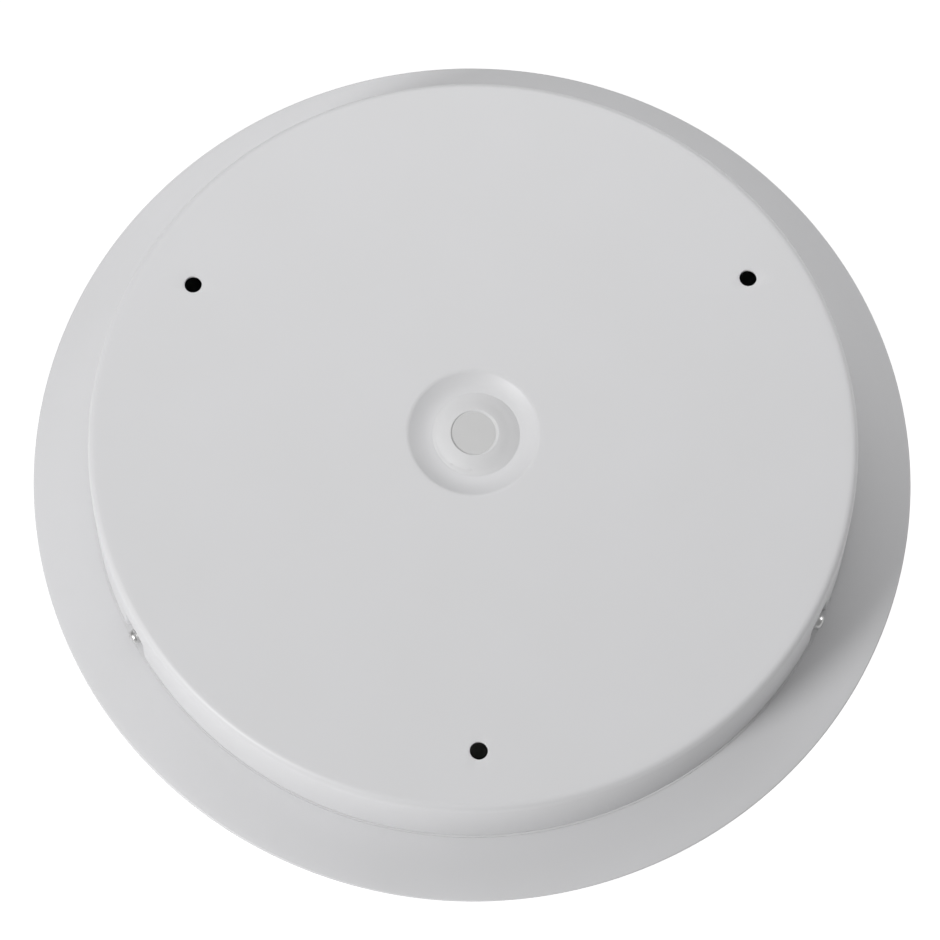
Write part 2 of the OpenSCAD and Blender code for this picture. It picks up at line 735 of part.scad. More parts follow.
back_pan();
cable_grommet();
tray_pillars();
led_tray();
tray_screws();
led_board();
led_chips();
board_screws();
led_connector();
tray_bush();
driver_case();
driver_lid();
driver_board();
driver_transformer();
driver_capacitors();
driver_choke();
driver_screws();
terminal_block();
terminal_inserts();
terminal_screws();
terminal_stud();
terminal_nut();
earth_stud();
earth_lug();
earth_washer();
earth_nut();
live_lead();
neutral_lead();
earth_lead();
led_lead_positive();
led_lead_negative();
trim_ring();
pan_seal();
screw_inserts();
diffuser();
diffuser_gasket();
diffuser_clamp();
clamp_screws();
side_screw_left();
side_screw_right();
side_screw_rear();
side_washer_left();
side_washer_right();
side_washer_rear();
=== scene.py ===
import math

import bmesh
import bpy
from mathutils import Matrix, Vector


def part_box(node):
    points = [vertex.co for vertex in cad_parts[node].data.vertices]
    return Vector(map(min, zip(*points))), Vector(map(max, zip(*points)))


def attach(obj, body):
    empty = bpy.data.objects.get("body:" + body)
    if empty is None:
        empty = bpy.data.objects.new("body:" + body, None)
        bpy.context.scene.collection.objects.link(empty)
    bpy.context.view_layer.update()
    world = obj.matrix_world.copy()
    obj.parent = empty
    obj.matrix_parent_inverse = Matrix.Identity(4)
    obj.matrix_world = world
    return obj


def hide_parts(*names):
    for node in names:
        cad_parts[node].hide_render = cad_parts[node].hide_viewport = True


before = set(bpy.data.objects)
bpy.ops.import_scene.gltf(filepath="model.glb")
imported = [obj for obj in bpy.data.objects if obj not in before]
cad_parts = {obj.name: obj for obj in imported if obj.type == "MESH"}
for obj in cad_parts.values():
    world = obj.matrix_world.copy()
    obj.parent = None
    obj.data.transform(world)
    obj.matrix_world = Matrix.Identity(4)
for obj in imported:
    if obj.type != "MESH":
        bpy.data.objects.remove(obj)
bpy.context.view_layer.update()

# ---- Back pan ----
# The shallow pan that screws to the soffit. It is 1 mm sheet steel, deep-drawn in one stroke with
# its cable moat and its three screw pockets, then powder coated white inside and out.

MM = 0.001


def colour(code):
    """sRGB hex value as linear colour."""
    parts = [int(code[i:i + 2], 16) / 255 for i in (1, 3, 5)]
    return [c / 12.92 if c <= 0.04045 else ((c + 0.055) / 1.055) ** 2.4 for c in parts] + [1.0]


def add_node(material, kind, settings=(), links=()):
    """Adds a node. Settings are (attribute or input, value), links are (input, output socket)."""
    node = material.node_tree.nodes.new(kind)
    for name, value in settings:
        if isinstance(name, str) and hasattr(node, name):
            setattr(node, name, value)
        else:
            node.inputs[name].default_value = value
    for name, socket in links:
        material.node_tree.links.new(socket, node.inputs[name])
    return node


def new_finish(name, **settings):
    """New material, its surface shader with these settings, and the object's own coordinates."""
    material = bpy.data.materials.new(name)
    material.use_nodes = True
    place = add_node(material, "ShaderNodeTexCoord").outputs["Object"]
    shader = material.node_tree.nodes["Principled BSDF"]
    for setting, value in settings.items():
        socket = setting.replace("_", " ").title().replace("Ior", "IOR")
        shader.inputs[socket].default_value = value
    return material, shader, place


# Polyester powder coat: satin white, with a soft orange peel left by the melted powder that is
# just too fine to see from a step away, and the slight cloudiness of uneven film thickness.
powder_coat, shader, place = new_finish("white_polyester_powder_coat", roughness=0.46, ior=1.5)
cloud = add_node(powder_coat, "ShaderNodeTexNoise", [("Scale", 1 / (38 * MM)), ("Detail", 3.0)],
                 [("Vector", place)])
tint = add_node(powder_coat, "ShaderNodeMix",
                [("data_type", "RGBA"), ("A", colour("#cfcfd0")), ("B", colour("#d2d2d4"))],
                [("Factor", cloud.outputs["Fac"])])
powder_coat.node_tree.links.new(tint.outputs["Result"], shader.inputs["Base Color"])
peel = add_node(powder_coat, "ShaderNodeTexNoise", [("Scale", 1 / (1.6 * MM)), ("Detail", 2.0)],
                [("Vector", place)])
bump = add_node(powder_coat, "ShaderNodeBump", [("Strength", 0.12), ("Distance", 0.05 * MM)],
                [("Height", peel.outputs["Fac"])])
powder_coat.node_tree.links.new(bump.outputs["Normal"], shader.inputs["Normal"])


def pick(piece, kind, test):
    """In edit mode, selects only the piece's points, edges or faces that pass the test."""
    bpy.ops.mesh.select_all(action="DESELECT")
    bpy.ops.mesh.select_mode(type=kind)
    mesh = bmesh.from_edit_mesh(piece.data)
    parts = {"VERT": mesh.verts, "EDGE": mesh.edges, "FACE": mesh.faces}[kind]
    for part in parts:
        part.select_set(test(part))
    mesh.select_flush_mode()
    bmesh.update_edit_mesh(piece.data)


def choose(piece):
    """Makes a piece the only one that the next operators act on."""
    bpy.ops.object.select_all(action="DESELECT")
    piece.select_set(True)
    bpy.context.view_layer.objects.active = piece


def turned(name, corners, turns=((360, 180),)):
    """Turns a section about the upright axis. A corner is (radius, height) in mm, and then how far
    its rounding reaches along both sides; turns are (degrees, steps)."""
    bpy.ops.object.select_all(action="DESELECT")
    bpy.ops.mesh.primitive_plane_add(size=MM)
    piece = bpy.context.object
    piece.name = piece.data.name = name
    bpy.ops.object.mode_set(mode="EDIT")
    bpy.ops.mesh.select_mode(type="VERT")
    bpy.ops.mesh.select_all(action="SELECT")
    bpy.ops.mesh.merge(type="CENTER")
    bpy.ops.transform.translate(value=(corners[0][0] * MM, 0, corners[0][1] * MM))
    for a, b in zip(corners, corners[1:]):
        step = ((b[0] - a[0]) * MM, 0, (b[1] - a[1]) * MM)
        bpy.ops.mesh.extrude_region_move(TRANSFORM_OT_translate={"value": step})
    for corner in corners:
        if len(corner) > 2:
            spot = Vector((corner[0] * MM, 0, corner[1] * MM))
            pick(piece, "VERT", lambda v: (v.co - spot).length < 1e-7)
            bpy.ops.mesh.bevel(offset=corner[2] * MM, segments=6, affect="VERTICES")
    bpy.ops.mesh.select_all(action="SELECT")
    bpy.ops.mesh.remove_doubles(threshold=1e-7)
    # With no window a spin runs clockwise, so its angle is negative
    for degrees, steps in turns:
        bpy.ops.mesh.spin(steps=steps, angle=-math.radians(degrees), center=(0, 0, 0),
                          axis=(0, 0, 1))
    bpy.ops.mesh.select_all(action="SELECT")
    bpy.ops.mesh.remove_doubles(threshold=1e-6)
    bpy.ops.mesh.normals_make_consistent(inside=False)
    bpy.ops.object.mode_set(mode="OBJECT")
    return piece


def swing(piece, degrees):
    """Turns a piece about the upright axis and leaves its object unturned."""
    choose(piece)
    piece.rotation_euler.z = math.radians(degrees)
    bpy.ops.object.transform_apply(location=True, rotation=True, scale=True)


def work(piece, tool, how="DIFFERENCE"):
    """Cuts a closed shape out of a piece, or builds it on."""
    choose(piece)
    modifier = piece.modifiers.new("work", "BOOLEAN")
    modifier.object = tool
    modifier.operation = how
    modifier.solver = "EXACT"
    bpy.ops.object.modifier_apply(modifier=modifier.name)
    bpy.data.objects.remove(tool)


def rod(radius, start, end, sides=48):
    """Cylinder between two points, for cutting or shaping."""
    a, b = Vector(start) * MM, Vector(end) * MM
    turn = (b - a).to_track_quat("Z", "Y").to_euler()
    bpy.ops.object.select_all(action="DESELECT")
    bpy.ops.mesh.primitive_cylinder_add(vertices=sides, radius=radius * MM, depth=(b - a).length,
                                        location=(a + b) / 2, rotation=turn)
    piece = bpy.context.object
    bpy.ops.object.transform_apply(location=True, rotation=True, scale=True)
    return piece


def hand_in(piece, material, body, slot, *nodes):
    """Gives a finished piece its material, its smooth shading and its place in the frame. Edges
    that turn by more than 32 degrees stay crisp."""
    piece.data.materials.clear()
    piece.data.materials.append(material)
    choose(piece)
    bpy.ops.object.shade_smooth_by_angle(angle=math.radians(32))
    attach(piece, body)
    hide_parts(*nodes)


# Sizes in mm, angles in degrees. The back face is at height 0, and the pan hangs down from it
sheet = 1.0
pan_foot_r = 129.35
pan_depth = 30
draft = math.tan(math.radians(3))
shoulder = 2.4
foot_edge = 0.15
entry_r = 12.5
moat_floor = -3
face_rings = (24, 100, 116, 124)
pocket_at = (-151.5, -27.5, 90.5)
pocket_face = 127.476
pocket_top = -16
pocket_half = 6
pocket_corner = 3
pocket_blend = 0.5
fine_half = 4.5
screw_depth = -25.5
screw_clear_r = 1.7
slot_reach = 4
slot_drop = 12
hole_circle_r = 108
hole_at = (-90, 30, 150)
hole_r = 2.9
hole_edge = 0.25


def pan_wall_r(height):
    """Radius of the sloping wall's outside at this height."""
    return pan_foot_r - (pan_depth + height) * draft


# The moat is a dish, one sheet thick: its upper side outwards, and its underside back inwards
moat_top = [(entry_r, moat_floor, 0.3), (15.2, moat_floor, 0.8), (17.2, -2.5, 0.9),
            (19.2, -1.6, 0.8), (20.8, -0.7, 0.6), (21.9, 0, 0.7)]
moat_under = [(22.2, -sheet, 0.7), (21.3, -1.56, 0.5), (19.65, -2.5, 0.8), (17.54, -3.45, 0.9),
              (15.3, moat_floor - sheet, 0.8), (entry_r, moat_floor - sheet, 0.3),
              (entry_r, moat_floor)]

# The wall has close rows where the pockets end, and fine steps to either side of each pocket
rows = [14 + 0.5 * k for k in range(11)] + list(range(20, 30))
pan_turns = ((2 * fine_half, 60), (115, 76), (2 * fine_half, 60), (109, 72),
             (2 * fine_half, 60), (109, 72))
pan = turned("pressed_pan", [
    *moat_top, *[(r, 0) for r in face_rings],
    (pan_wall_r(0), 0, shoulder), *[(pan_wall_r(-z), -z) for z in rows],
    (pan_foot_r, -pan_depth, foot_edge), (pan_foot_r - sheet, -pan_depth, foot_edge),
    *[(pan_wall_r(-z) - sheet, -z) for z in reversed(rows)],
    (pan_wall_r(-sheet) - sheet, -sheet, shoulder - sheet),
    *[(r, -sheet) for r in reversed(face_rings)], *moat_under], pan_turns)
swing(pan, pocket_at[0] - fine_half)


def in_pocket(y, z, grow):
    """Whether a point lies in the pocket's outline, grown all round, seen square from outside."""
    w, r, top = pocket_half + grow, pocket_corner + grow, pocket_top + grow
    if abs(y) > w or z > top:
        return False
    return abs(y) < w - r or z < top - r or math.hypot(abs(y) - w + r, z - top + r) < r


for angle in pocket_at:
    swing(pan, -angle)
    bpy.ops.object.mode_set(mode="EDIT")
    # The inside and then the outside of the wall is pressed flat within the pocket's outline
    for face_x, inner in ((pocket_face - sheet, True), (pocket_face, False)):
        pick(pan, "VERT", lambda v: v.co.x > 0.1
             and in_pocket(v.co.y / MM, v.co.z / MM, sheet * inner)
             and (v.co.xy.length / MM < pan_wall_r(v.co.z / MM) - sheet / 2) == inner)
        bpy.ops.transform.resize(value=(0, 1, 1), center_override=(face_x * MM, 0, 0))
    pick(pan, "VERT", lambda v: v.co.x > 0.1
         and in_pocket(v.co.y / MM, v.co.z / MM, pocket_blend)
         and not in_pocket(v.co.y / MM, v.co.z / MM, -pocket_blend))
    bpy.ops.mesh.vertices_smooth(factor=0.5, repeat=2, xaxis=True, yaxis=False, zaxis=False)
    bpy.ops.object.mode_set(mode="OBJECT")
    # Slot for the screw, open at the pan's lower edge
    slot = rod(screw_clear_r, (pocket_face - slot_reach, 0, screw_depth),
               (pocket_face + slot_reach, 0, screw_depth))
    bpy.ops.object.mode_set(mode="EDIT")
    pick(slot, "FACE", lambda f: f.normal.z < -0.02 and abs(f.normal.x) < 0.5)
    bpy.ops.mesh.extrude_region_move(TRANSFORM_OT_translate={"value": (0, 0, -slot_drop * MM)})
    bpy.ops.object.mode_set(mode="OBJECT")
    work(pan, slot)
    swing(pan, angle)

# Punched fixing holes, their upper edge softened by the coat
for angle in hole_at:
    x, y = (hole_circle_r * f(math.radians(angle)) for f in (math.cos, math.sin))
    work(pan, rod(hole_r, (x, y, -4), (x, y, 4)))
    choose(pan)
    bpy.ops.object.mode_set(mode="EDIT")
    middle = Vector((x * MM, y * MM, 0))
    pick(pan, "EDGE", lambda e: all(
        abs(v.co.z) < 1e-6 and abs((v.co - middle).xy.length - hole_r * MM) < 1e-5
        for v in e.verts))
    bpy.ops.mesh.bevel(offset=hole_edge * MM, segments=3, affect="EDGES")
    bpy.ops.object.mode_set(mode="OBJECT")
hand_in(pan, powder_coat, "pan", "white_powder_coat", "back_pan")

# ---- Cable grommet ----
# Blind white silicone grommet that snaps into the pan's entry hole. It is moulded with a thin ring
# groove in its top, where the installer cuts it out for the cable.

# Silicone: as white as the coat but a little waxy, as light sinks in before it comes back. The
# thin skin inside the ring groove is painted greyer: painted shade for the dark pan seen through
# it.
silicone, shader, place = new_finish(
    "white_moulded_silicone", roughness=0.55, ior=1.41, subsurface_weight=0.15,
    subsurface_radius=(1.0, 1.0, 1.0), subsurface_scale=0.8 * MM)
cloud = add_node(silicone, "ShaderNodeTexNoise", [("Scale", 1 / (6 * MM)), ("Detail", 3.0)],
                 [("Vector", place)])
thick = add_node(silicone, "ShaderNodeMix",
                 [("data_type", "RGBA"), ("A", colour("#cfcfd0")), ("B", colour("#d4d4d5"))],
                 [("Factor", cloud.outputs["Fac"])])
# Painted shade: the skin's greyer colour stands in for the dark pan that shows through it
skin_painted_shade = add_node(silicone, "ShaderNodeMix",
                [("data_type", "RGBA"), ("A", colour("#c4c4c4")), ("B", colour("#c8c8c8"))],
                [("Factor", cloud.outputs["Fac"])])
level = add_node(silicone, "ShaderNodeVectorMath", [("operation", "MULTIPLY"), (1, (1, 1, 0))],
                 [(0, place)])
from_axis = add_node(silicone, "ShaderNodeVectorMath", [("operation", "LENGTH")],
                     [(0, level.outputs["Vector"])])
# Painted shade mask: the skin within 7.3 mm of the axis, fading to the plain colour by 8 mm
skin_shade_mask = add_node(silicone, "ShaderNodeMapRange",
                  [("From Min", 7.3 * MM), ("From Max", 8.0 * MM)],
                  [("Value", from_axis.outputs["Value"])])
tint = add_node(silicone, "ShaderNodeMix", [("data_type", "RGBA")],
                [("Factor", skin_shade_mask.outputs["Result"]), ("A", skin_painted_shade.outputs["Result"]),
                 ("B", thick.outputs["Result"])])
silicone.node_tree.links.new(tint.outputs["Result"], shader.inputs["Base Color"])
grain = add_node(silicone, "ShaderNodeTexNoise", [("Scale", 1 / (0.5 * MM)), ("Detail", 2.0)],
                 [("Vector", place)])
bump = add_node(silicone, "ShaderNodeBump", [("Strength", 0.2), ("Distance", 0.02 * MM)],
                [("Height", grain.outputs["Fac"])])
silicone.node_tree.links.new(bump.outputs["Normal"], shader.inputs["Normal"])
neck_r = 12.2
cap_r = 14.7
bead_r = 14.2
skin_top = -0.6
skin_under = -2.1
grommet = turned("blind_grommet", [
    # The cut-out skin, the groove round it and the sloping cap
    (0, skin_top), (7.0, skin_top, 0.25), (7.5, -0.68, 0.2), (7.95, -0.25, 0.25),
    (10.5, -1.1, 1.2), (13.3, -2.45, 0.6), (14.4, -2.88, 0.15), (cap_r, moat_floor),
    # The neck in the pan's hole, and the bead that holds it from below
    (neck_r, moat_floor), (neck_r, moat_floor - sheet), (bead_r, moat_floor - sheet, 0.2),
    (bead_r, -4.8, 0.3), (neck_r, -6, 0.3), (10, -6, 0.3), (10, -3, 0.8), (8.5, skin_under, 0.5),
    (0, skin_under)], ((360, 144),))
# The photographed one sits a little askew: its foot lies further to the right than its top. Only
# the neck's top ring, which is level with the foot, stays in the pan's hole
bpy.ops.object.mode_set(mode="EDIT")
for beyond, shift in ((7.8, (0.4, 0.1, 0)), (12.6, (0.6, 0.3, 0))):
    pick(grommet, "VERT", lambda v: v.co.xy.length > beyond * MM
         and v.co.z > (-3.05 if v.co.xy.length > 14 * MM else -2.99) * MM)
    bpy.ops.transform.translate(value=Vector(shift) * MM)
bpy.ops.object.mode_set(mode="OBJECT")
hand_in(grommet, silicone, "pan", "white_silicone", "cable_grommet")

# ---- Pillars, studs, screws and nuts ----
# Steel fixings that stay as modelled in the frame: threaded pillars and studs welded inside the
# pan, machine screws, nuts, washer, earth lug and the diffuser's clamp ring.

# Bright zinc plate: blue-white metal whose gloss is broken up by fine grain and by duller patches.
zinc, shader, place = new_finish("bright_zinc_plated_steel", metallic=1.0)
patches = add_node(zinc, "ShaderNodeTexNoise", [("Scale", 1 / (2.5 * MM)), ("Detail", 4.0)],
                   [("Vector", place)])
tint = add_node(zinc, "ShaderNodeMix",
                [("data_type", "RGBA"), ("A", colour("#b9bcc0")), ("B", colour("#d3d6da"))],
                [("Factor", patches.outputs["Fac"])])
zinc.node_tree.links.new(tint.outputs["Result"], shader.inputs["Base Color"])
dullness = add_node(zinc, "ShaderNodeMapRange", [("To Min", 0.22), ("To Max", 0.42)],
                    [("Value", patches.outputs["Fac"])])
zinc.node_tree.links.new(dullness.outputs["Result"], shader.inputs["Roughness"])
grain = add_node(zinc, "ShaderNodeTexNoise", [("Scale", 1 / (0.3 * MM)), ("Detail", 2.0)],
                 [("Vector", place)])
bump = add_node(zinc, "ShaderNodeBump", [("Strength", 0.25), ("Distance", 0.01 * MM)],
                [("Height", grain.outputs["Fac"])])
zinc.node_tree.links.new(bump.outputs["Normal"], shader.inputs["Normal"])


def dress(material, *names):
    """Gives carried-over parts of the frame their finish."""
    for name in names:
        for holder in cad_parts[name].material_slots:
            holder.material = material


dress(zinc, "tray_pillars", "tray_screws", "board_screws", "driver_screws", "terminal_screws",
      "terminal_stud", "terminal_nut", "earth_stud", "earth_lug", "earth_washer", "earth_nut",
      "diffuser_clamp", "clamp_screws")

# ---- LED tray ----
# Spun aluminium dish, painted matt white so that it throws the light down onto the diffuser.

# Matt reflector paint: flat white with a dry, faintly mottled surface from the spray.
tray_paint, shader, place = new_finish("matt_white_reflector_paint", roughness=0.8)
mottle = add_node(tray_paint, "ShaderNodeTexNoise", [("Scale", 1 / (9 * MM)), ("Detail", 5.0)],
                  [("Vector", place)])
tint = add_node(tray_paint, "ShaderNodeMix",
                [("data_type", "RGBA"), ("A", colour("#ececea")), ("B", colour("#f4f4f2"))],
                [("Factor", mottle.outputs["Fac"])])
tray_paint.node_tree.links.new(tint.outputs["Result"], shader.inputs["Base Color"])
spray = add_node(tray_paint, "ShaderNodeTexNoise", [("Scale", 1 / (0.7 * MM)), ("Detail", 3.0)],
                 [("Vector", place)])
bump = add_node(tray_paint, "ShaderNodeBump", [("Strength", 0.3), ("Distance", 0.03 * MM)],
                [("Height", spray.outputs["Fac"])])
tray_paint.node_tree.links.new(bump.outputs["Normal"], shader.inputs["Normal"])
dress(tray_paint, "led_tray")

# ---- LED board, chips and connector ----
# Ring-shaped aluminium circuit board with 32 surface-mounted LEDs and a two-pole plug socket.

# White solder mask: glossy ink; the round tracks printed beneath show as faint raised rings.
solder_mask, shader, place = new_finish("white_printed_solder_mask", roughness=0.32)
tracks = add_node(solder_mask, "ShaderNodeTexWave",
                  [("wave_type", "RINGS"), ("rings_direction", "Z"), ("Scale", 1 / (40 * MM)),
                   ("Distortion", 0.0)], [("Vector", place)])
band = add_node(solder_mask, "ShaderNodeMapRange", [("From Min", 0.45), ("From Max", 0.55)],
                [("Value", tracks.outputs["Fac"])])
tint = add_node(solder_mask, "ShaderNodeMix",
                [("data_type", "RGBA"), ("A", colour("#efefe9")), ("B", colour("#f7f7f3"))],
                [("Factor", band.outputs["Result"])])
solder_mask.node_tree.links.new(tint.outputs["Result"], shader.inputs["Base Color"])
bump = add_node(solder_mask, "ShaderNodeBump", [("Strength", 0.5), ("Distance", 0.05 * MM)],
                [("Height", band.outputs["Result"])])
solder_mask.node_tree.links.new(bump.outputs["Normal"], shader.inputs["Normal"])
dress(solder_mask, "led_board")

# LED package: white moulded sides, and yellow silicone with phosphor powder on the side that
# shines, which faces down.
phosphor, shader, place = new_finish("yellow_phosphor_silicone", roughness=0.35)
normal = phosphor.node_tree.nodes["Texture Coordinate"].outputs["Normal"]
facing = add_node(phosphor, "ShaderNodeSeparateXYZ", (), [("Vector", normal)])
down = add_node(phosphor, "ShaderNodeMath", [("operation", "LESS_THAN"), (1, -0.5)],
                [(0, facing.outputs["Z"])])
powder = add_node(phosphor, "ShaderNodeTexNoise", [("Scale", 1 / (0.2 * MM)), ("Detail", 3.0)],
                  [("Vector", place)])
gel = add_node(phosphor, "ShaderNodeMix",
               [("data_type", "RGBA"), ("A", colour("#e3bd2f")), ("B", colour("#f2dc6a"))],
               [("Factor", powder.outputs["Fac"])])
tint = add_node(phosphor, "ShaderNodeMix", [("data_type", "RGBA"), ("A", colour("#f0efe8"))],
                [("Factor", down.outputs["Value"]), ("B", gel.outputs["Result"])])
phosphor.node_tree.links.new(tint.outputs["Result"], shader.inputs["Base Color"])
dress(phosphor, "led_chips")

# Natural nylon: milky off-white with a fine spark-eroded mould texture.
nylon, shader, place = new_finish("natural_moulded_nylon", roughness=0.5, ior=1.53,
                                  subsurface_weight=0.1, subsurface_scale=1.0 * MM)
flow = add_node(nylon, "ShaderNodeTexNoise", [("Scale", 1 / (7 * MM)), ("Detail", 2.0)],
                [("Vector", place)])
tint = add_node(nylon, "ShaderNodeMix",
                [("data_type", "RGBA"), ("A", colour("#e6e3da")), ("B", colour("#efede5"))],
                [("Factor", flow.outputs["Fac"])])
nylon.node_tree.links.new(tint.outputs["Result"], shader.inputs["Base Color"])
texture = add_node(nylon, "ShaderNodeTexVoronoi", [("Scale", 1 / (0.35 * MM))],
                   [("Vector", place)])
bump = add_node(nylon, "ShaderNodeBump", [("Strength", 0.3), ("Distance", 0.02 * MM)],
                [("Height", texture.outputs["Distance"])])
nylon.node_tree.links.new(bump.outputs["Normal"], shader.inputs["Normal"])
dress(nylon, "led_connector", "terminal_block")

# ---- Lead bush ----
# Black rubber bush that keeps the LED leads off the edge of their hole in the tray.

# Chloroprene rubber: near-black and matt, with a greyish dusting of mould release.
rubber, shader, place = new_finish("black_moulded_rubber", roughness=0.7)
dust = add_node(rubber, "ShaderNodeTexNoise", [("Scale", 1 / (1.5 * MM)), ("Detail", 5.0)],
                [("Vector", place)])
tint = add_node(rubber, "ShaderNodeMix",
                [("data_type", "RGBA"), ("A", colour("#1c1c1d")), ("B", colour("#2f2f31"))],
                [("Factor", dust.outputs["Fac"])])
rubber.node_tree.links.new(tint.outputs["Result"], shader.inputs["Base Color"])
bump = add_node(rubber, "ShaderNodeBump", [("Strength", 0.3), ("Distance", 0.02 * MM)],
                [("Height", dust.outputs["Fac"])])
rubber.node_tree.links.new(bump.outputs["Normal"], shader.inputs["Normal"])
dress(rubber, "tray_bush")

# ---- LED driver ----
# The driver's moulded case and lid, with its circuit board, transformer, capacitors and choke.

# White polycarbonate: slightly warm, satin, with a fine etched texture from the mould.
polycarbonate, shader, place = new_finish("white_moulded_polycarbonate", roughness=0.42, ior=1.58)
flow = add_node(polycarbonate, "ShaderNodeTexNoise", [("Scale", 1 / (15 * MM)), ("Detail", 2.0)],
                [("Vector", place)])
tint = add_node(polycarbonate, "ShaderNodeMix",
                [("data_type", "RGBA"), ("A", colour("#e5e5e2")), ("B", colour("#ebebe8"))],
                [("Factor", flow.outputs["Fac"])])
polycarbonate.node_tree.links.new(tint.outputs["Result"], shader.inputs["Base Color"])
etch = add_node(polycarbonate, "ShaderNodeTexVoronoi", [("Scale", 1 / (0.45 * MM))],
                [("Vector", place)])
bump = add_node(polycarbonate, "ShaderNodeBump", [("Strength", 0.35), ("Distance", 0.03 * MM)],
                [("Height", etch.outputs["Distance"])])
polycarbonate.node_tree.links.new(bump.outputs["Normal"], shader.inputs["Normal"])
dress(polycarbonate, "driver_case", "driver_lid")

# Glass-fibre board: green solder mask over the fine weave of the glass cloth.
glass_fibre, shader, place = new_finish("green_masked_glass_fibre_board", roughness=0.35)
weave = add_node(glass_fibre, "ShaderNodeTexChecker", [("Scale", 1 / (0.6 * MM))],
                 [("Vector", place)])
blotch = add_node(glass_fibre, "ShaderNodeTexNoise", [("Scale", 1 / (4 * MM)), ("Detail", 2.0)],
                  [("Vector", place)])
tint = add_node(glass_fibre, "ShaderNodeMix",
                [("data_type", "RGBA"), ("A", colour("#14572f")), ("B", colour("#1f6e3c"))],
                [("Factor", blotch.outputs["Fac"])])
glass_fibre.node_tree.links.new(tint.outputs["Result"], shader.inputs["Base Color"])
bump = add_node(glass_fibre, "ShaderNodeBump", [("Strength", 0.3), ("Distance", 0.02 * MM)],
                [("Height", weave.outputs["Fac"])])
glass_fibre.node_tree.links.new(bump.outputs["Normal"], shader.inputs["Normal"])
dress(glass_fibre, "driver_board")

# Polyester tape: translucent yellow film wound round the transformer in overlapping turns.
tape, shader, place = new_finish("yellow_wound_polyester_tape", roughness=0.25, coat_weight=0.3)
turns_of_tape = add_node(tape, "ShaderNodeTexWave",
                         [("wave_type", "BANDS"), ("bands_direction", "Z"),
                          ("wave_profile", "SAW"), ("Scale", 1 / (20 * MM)), ("Distortion", 0.4)],
                         [("Vector", place)])
tint = add_node(tape, "ShaderNodeMix",
                [("data_type", "RGBA"), ("A", colour("#d9a92b")), ("B", colour("#e8c455"))],
                [("Factor", turns_of_tape.outputs["Fac"])])
tape.node_tree.links.new(tint.outputs["Result"], shader.inputs["Base Color"])
bump = add_node(tape, "ShaderNodeBump", [("Strength", 0.5), ("Distance", 0.06 * MM)],
                [("Height", turns_of_tape.outputs["Fac"])])
tape.node_tree.links.new(bump.outputs["Normal"], shader.inputs["Normal"])
dress(tape, "driver_transformer")

# Shrink sleeve: glossy black film on each capacitor's can, drawn slightly wavy by the heat.
sleeve, shader, place = new_finish("black_shrunk_sleeve", roughness=0.22)
wave = add_node(sleeve, "ShaderNodeTexNoise", [("Scale", 1 / (3 * MM)), ("Detail", 1.0)],
                [("Vector", place)])
tint = add_node(sleeve, "ShaderNodeMix",
                [("data_type", "RGBA"), ("A", colour("#131416")), ("B", colour("#1f2124"))],
                [("Factor", wave.outputs["Fac"])])
sleeve.node_tree.links.new(tint.outputs["Result"], shader.inputs["Base Color"])
bump = add_node(sleeve, "ShaderNodeBump", [("Strength", 0.4), ("Distance", 0.08 * MM)],
                [("Height", wave.outputs["Fac"])])
sleeve.node_tree.links.new(bump.outputs["Normal"], shader.inputs["Normal"])
dress(sleeve, "driver_capacitors")

# Enamelled copper: reddish metal under clear varnish, in 42 turns of wire that stand upright round
# the choke's core.
winding, shader, place = new_finish("enamelled_copper_wire", metallic=1.0, roughness=0.3,
                                    coat_weight=0.6)
choke_turns = 42
choke_at = [(a + b) / 2 for a, b in zip(*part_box("driver_choke"))]
about_core = add_node(winding, "ShaderNodeMapping", [("Location", [-c for c in choke_at])],
                      [("Vector", place)])
bearing = add_node(winding, "ShaderNodeTexGradient", [("gradient_type", "RADIAL")],
                   [("Vector", about_core.outputs["Vector"])])
wires = add_node(winding, "ShaderNodeMath",
                 [("operation", "MULTIPLY"), (1, 2 * math.pi * choke_turns)],
                 [(0, bearing.outputs["Fac"])])
ridge = add_node(winding, "ShaderNodeMath", [("operation", "SINE")], [(0, wires.outputs["Value"])])
tint = add_node(winding, "ShaderNodeMix",
                [("data_type", "RGBA"), ("A", colour("#7a3413")), ("B", colour("#c4652b"))],
                [("Factor", ridge.outputs["Value"])])
winding.node_tree.links.new(tint.outputs["Result"], shader.inputs["Base Color"])
bump = add_node(winding, "ShaderNodeBump", [("Strength", 0.8), ("Distance", 0.2 * MM)],
                [("Height", ridge.outputs["Value"])])
winding.node_tree.links.new(bump.outputs["Normal"], shader.inputs["Normal"])
dress(winding, "driver_choke")

# ---- Brass inserts ----
# Turned brass: the terminal block's three wire clamps, and the inserts pressed into the ring.

# Turned brass: warm yellow metal with fine lathe lines and a little tarnish.
brass, shader, place = new_finish("turned_brass", metallic=1.0)
tarnish = add_node(brass, "ShaderNodeTexNoise", [("Scale", 1 / (2 * MM)), ("Detail", 4.0)],
                   [("Vector", place)])
tint = add_node(brass, "ShaderNodeMix",
                [("data_type", "RGBA"), ("A", colour("#b89344")), ("B", colour("#d8b767"))],
                [("Factor", tarnish.outputs["Fac"])])
brass.node_tree.links.new(tint.outputs["Result"], shader.inputs["Base Color"])
dullness = add_node(brass, "ShaderNodeMapRange", [("To Min", 0.2), ("To Max", 0.4)],
                    [("Value", tarnish.outputs["Fac"])])
brass.node_tree.links.new(dullness.outputs["Result"], shader.inputs["Roughness"])
lathe = add_node(brass, "ShaderNodeTexWave",
                 [("bands_direction", "Z"), ("Scale", 1 / (8 * MM)), ("Distortion", 0.5)],
                 [("Vector", place)])
bump = add_node(brass, "ShaderNodeBump", [("Strength", 0.3), ("Distance", 0.01 * MM)],
                [("Height", lathe.outputs["Fac"])])
brass.node_tree.links.new(bump.outputs["Normal"], shader.inputs["Normal"])
dress(brass, "terminal_inserts", "screw_inserts")

# ---- Leads ----
# Stranded copper leads in soft PVC: three for the mains and two for the LEDs.

